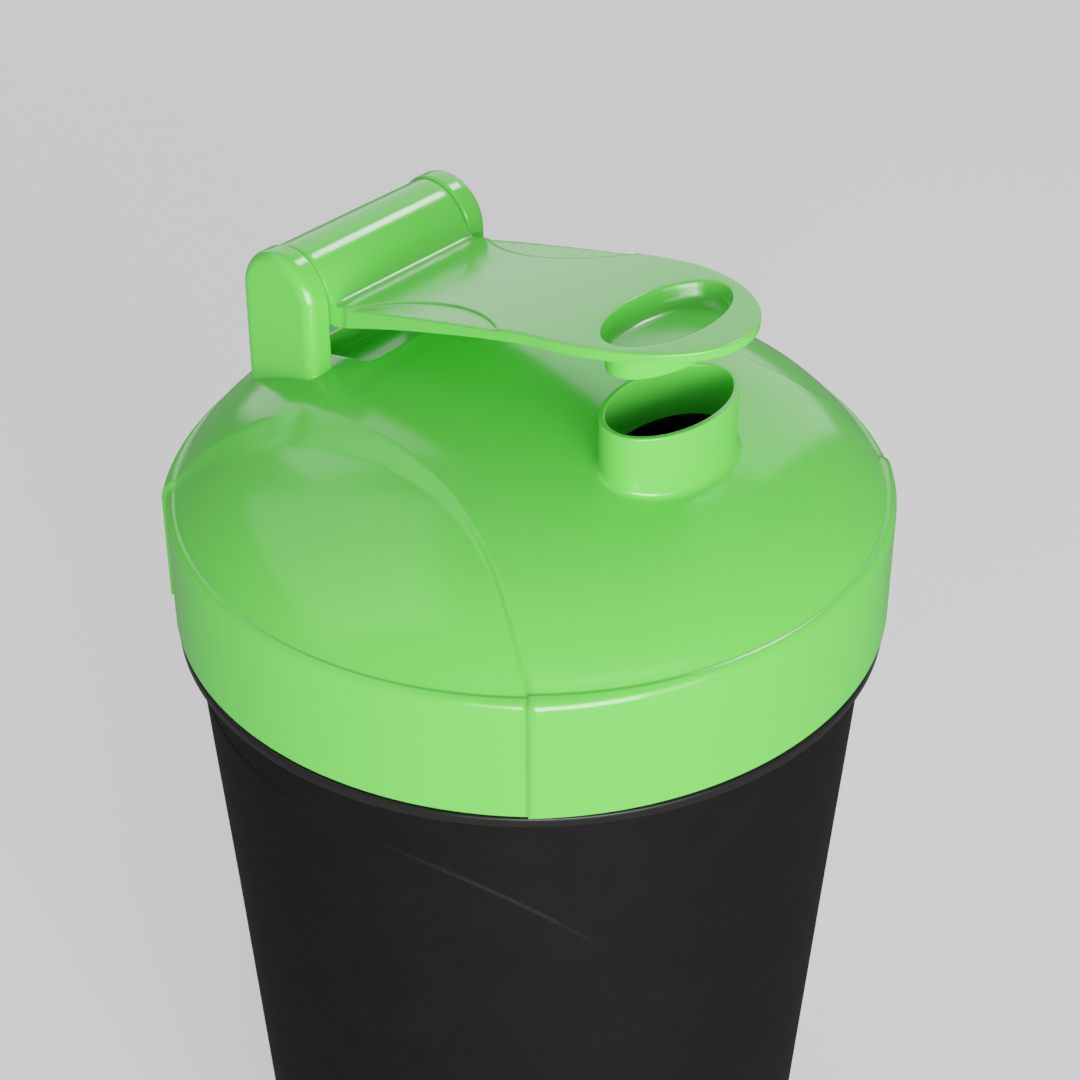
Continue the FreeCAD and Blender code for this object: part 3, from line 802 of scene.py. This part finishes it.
def sweep_line(angle):
    """Height over the flange, and strength, of the two swept edges moulded in the wall."""
    turn = (angle - SWEEP_START) % 180
    if turn > 90:
        return SWEEP_TOP, min(1.0, (turn - 90) / SWEEP_GROW)
    drop = SWEEP_DROP * turn ** SWEEP_POWER
    return SWEEP_TOP - drop, 1 - soft_fade((turn - SWEEP_END) / SWEEP_FADE)


def wall_r(z):
    """Radius of the cup's outside before the swept edges."""
    return CUP_TOP_R - (CUP_H - z) * TAPER


def cup_profile(angle):
    """(r, z) from the middle of the base up the outside, over the rim, to the middle inside."""
    line, strength = sweep_line(angle)
    line += CUP_H
    raised = SWEEP_RAISE * strength
    floor_r = wall_r(CUP_FLOOR) - CUP_WALL
    foot_r = wall_r(FOOT_ROUND) - FOOT_ROUND
    base = [(0.0, FOOT_RECESS)] + [(floor_r - inset, z) for inset, z in BASE_STEPS]
    foot = [(foot_r + FOOT_ROUND * math.sin(a), FOOT_ROUND * (1 - math.cos(a)))
            for a in quarter_steps(8)[:-1]]
    lower = [(wall_r(z) + raised * soft_fade(1 - (line - z) / SWEEP_REACH), z)
             for z in np.linspace(FOOT_ROUND, line - 0.5, 60)]
    step = [(wall_r(line + rise) + raised * share, line + rise) for rise, share in SWEEP_STEP]
    band = [(wall_r(z), z) for z in np.linspace(line + 0.9, BAND_TOP, 24)]
    corners = [(wall_r(BAND_TOP), BAND_TOP), (CUP_TOP_R + 0.5, CUP_H), (FLANGE_R, CUP_H),
               (FLANGE_R, CUP_H + FLANGE_H), (NECK_R, CUP_H + FLANGE_H), (NECK_R, RIM_Z),
               (NECK_BORE_R, RIM_Z), (NECK_BORE_R, CUP_H + 1),
               (CUP_TOP_R - CUP_WALL - 0.25, CUP_H - 4)]
    flange = round_path(corners, [0.5, 0.3, 0.6, 0.3, 0.8, 0.8, 1.0]).tolist()
    inner = [(wall_r(z) - CUP_WALL, z) for z in np.linspace(CUP_H - 8, CUP_FLOOR + 6, 40)]
    inner += [(floor_r - inset, CUP_FLOOR + rise) for inset, rise in FLOOR_STEPS]
    inner += [(0.0, CUP_FLOOR)]
    return np.array(base + foot + lower + step + band + flange + inner)


def make_cup(material, gloss):
    shell = Shell()
    columns = []
    for angle in np.arange(0, 360, 1.0):
        profile = cup_profile(angle)
        columns.append(np.column_stack([np.outer(profile[:, 0], polar(1, angle)), profile[:, 1]]))
    shell.grid(np.array(columns).transpose(1, 0, 2))
    add_thread(shell, NECK_R - RIDGE_SUNK, CUP_RIDGE_R, RIDGE_Z, CUP_RIDGE_TURNS, CUP_RIDGE_START)
    cup = shell.build("cup_body", [material, gloss])
    for face in cup.data.polygons:
        z = face.center.z / MM
        r = math.hypot(face.center.x, face.center.y) / MM
        if z > CUP_H - 0.2 and r > NECK_R - 3:
            face.material_index = 1
    return cup


# ---- materials ---------------------------------------------------------------------------
def plastic(name, low, high, roughness, bump, grain, mottle=8.0, **settings):
    """Moulded plastic: slight colour drift, uneven gloss and a fine surface grain."""
    material = bpy.data.materials.new(name)
    material.use_nodes = True
    nodes, links = material.node_tree.nodes, material.node_tree.links
    shader = nodes["Principled BSDF"]
    place = nodes.new("ShaderNodeTexCoord")

    def noise(scale, detail):
        node = nodes.new("ShaderNodeTexNoise")
        node.inputs["Scale"].default_value = scale
        node.inputs["Detail"].default_value = detail
        links.new(place.outputs["Object"], node.inputs["Vector"])
        return node
    drift = noise(mottle, 3)
    colour = nodes.new("ShaderNodeMix")
    colour.data_type = "RGBA"
    colour.inputs["A"].default_value = (*low, 1)
    colour.inputs["B"].default_value = (*high, 1)
    links.new(drift.outputs["Fac"], colour.inputs["Factor"])
    links.new(colour.outputs["Result"], shader.inputs["Base Color"])
    gloss = nodes.new("ShaderNodeMapRange")
    gloss.inputs["To Min"].default_value = roughness[0]
    gloss.inputs["To Max"].default_value = roughness[1]
    smudge = noise(mottle * 9, 4)
    links.new(smudge.outputs["Fac"], gloss.inputs["Value"])
    links.new(gloss.outputs["Result"], shader.inputs["Roughness"])
    relief = nodes.new("ShaderNodeBump")
    relief.inputs["Strength"].default_value = bump
    relief.inputs["Distance"].default_value = 0.0001
    fine = noise(grain, 5)
    links.new(fine.outputs["Fac"], relief.inputs["Height"])
    links.new(relief.outputs["Normal"], shader.inputs["Normal"])
    for socket, value in settings.items():
        shader.inputs[socket.replace("_", " ")].default_value = value
    return material


green = plastic("green_gloss", (0.100, 0.60, 0.060), (0.110, 0.63, 0.068), (0.15, 0.20), 0.05, 900)
black = plastic("black_matte", (0.0040, 0.0038, 0.0036), (0.0060, 0.0057, 0.0055), (0.46, 0.66), 1.0, 900,
                mottle=110, Specular_IOR_Level=0.08)
black_gloss = plastic("black_gloss", (0.008, 0.008, 0.008), (0.012, 0.011, 0.011), (0.24, 0.32), 0.05, 900,
                      Specular_IOR_Level=0.15)
# Black satin: the strainer's own colour, and painted shade on the lower bore of the spout.
black_satin_and_bore_shade = plastic("black_satin_and_bore_shade", (0.010, 0.010, 0.011), (0.014, 0.014, 0.015), (0.25, 0.4), 0.15, 1200)
silicone = plastic("silicone_satin", (0.55, 0.57, 0.55), (0.62, 0.64, 0.62), (0.5, 0.6), 0.2, 1400)

# The lid's second material is painted shade in the lower part of the spout's bore.
lid = make_lid(green, black_satin_and_bore_shade)
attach(lid, "lid")
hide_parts("lid")
cap = make_cap(green)
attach(cap, "flip_cap")
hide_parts("flip_cap")
cup = make_cup(black, black_gloss)
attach(cup, "cup")
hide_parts("cup")
for node, material in (("lid_gasket", silicone), ("strainer", black_satin_and_bore_shade)):
    for slot in frame["nodes"][node].material_slots:
        slot.material = material


# ---- stage -------------------------------------------------------------------------------
def area_light(name, azimuth, elevation, distance, size, power, aim=(0, 0, 0.19)):
    """Soft box that faces the bottle from a bearing and a height in degrees."""
    data = bpy.data.lights.new(name, "AREA")
    data.shape = "RECTANGLE"
    data.size, data.size_y = size
    data.energy = power
    light = bpy.data.objects.new(name, data)
    a, e = math.radians(azimuth), math.radians(elevation)
    towards = Vector((math.cos(e) * math.cos(a), math.cos(e) * math.sin(a), math.sin(e)))
    light.location = Vector(aim) + towards * distance
    light.rotation_euler = towards.to_track_quat("Z", "Y").to_euler()
    light.visible_camera = False
    bpy.context.scene.collection.objects.link(light)


def make_floor():
    """Pale level ground that reaches far past the bottle."""
    shell = Shell()
    reach = 4000.0
    xs = np.linspace(-reach, reach, 9)
    shell.grid([[(x, y, 0) for x in xs] for y in xs], closed=False)
    paper = plastic("paper_floor", (0.92, 0.92, 0.92), (0.94, 0.94, 0.94), (0.9, 0.95), 0.02, 300, mottle=2)
    floor = shell.build("floor", [paper])
    floor.visible_glossy = False


make_floor()
world = bpy.data.worlds.new("studio")
bpy.context.scene.world = world
world.use_nodes = True
world.node_tree.nodes["Background"].inputs["Color"].default_value = (1, 1, 1, 1)
world.node_tree.nodes["Background"].inputs["Strength"].default_value = 0.2

for name, azimuth, elevation, distance, size, power in (
        ("key", 235, 6, 1.45, (1.0, 0.66), 31), ("fill", 238, 10, 2.0, (2.8, 1.1), 42),
        ("ceiling", 125, 52, 1.7, (1.9, 1.3), 7), ("back", 40, 26, 1.6, (2.2, 1.35), 15)):
    area_light(name, azimuth, elevation, distance, size, power)
area_light("barrel_glint", 3, 52, 0.45, (0.09, 0.07), 0.55, (0, HINGE[1], HINGE[2]))

# ---- camera ------------------------------------------------------------------------------
CAMERA_BEARING, CAMERA_RISE = 222.06, 34.49     # where it stands, degrees
CAMERA_DISTANCE = 0.36465
CAMERA_AIM_RIGHT, CAMERA_AIM_UP = 1.244 * MM, 8.245 * MM
bearing, rise = math.radians(CAMERA_BEARING), math.radians(CAMERA_RISE)
towards = Vector((math.cos(rise) * math.cos(bearing), math.cos(rise) * math.sin(bearing), math.sin(rise)))
right = Vector((-math.sin(bearing), math.cos(bearing), 0))
up = towards.cross(right)
aim = Vector((0, 0, CUP_H * MM)) + right * CAMERA_AIM_RIGHT + up * CAMERA_AIM_UP
camera = bpy.data.objects.new("camera", bpy.data.cameras.new("camera"))
camera.data.lens = 85
camera.data.sensor_width = 36
camera.data.clip_start = 0.01
camera.location = aim + towards * CAMERA_DISTANCE
camera.rotation_euler = Matrix((right, up, towards)).transposed().to_euler()
bpy.context.scene.collection.objects.link(camera)
bpy.context.scene.camera = camera
bpy.context.scene.view_settings.view_transform = "Filmic"
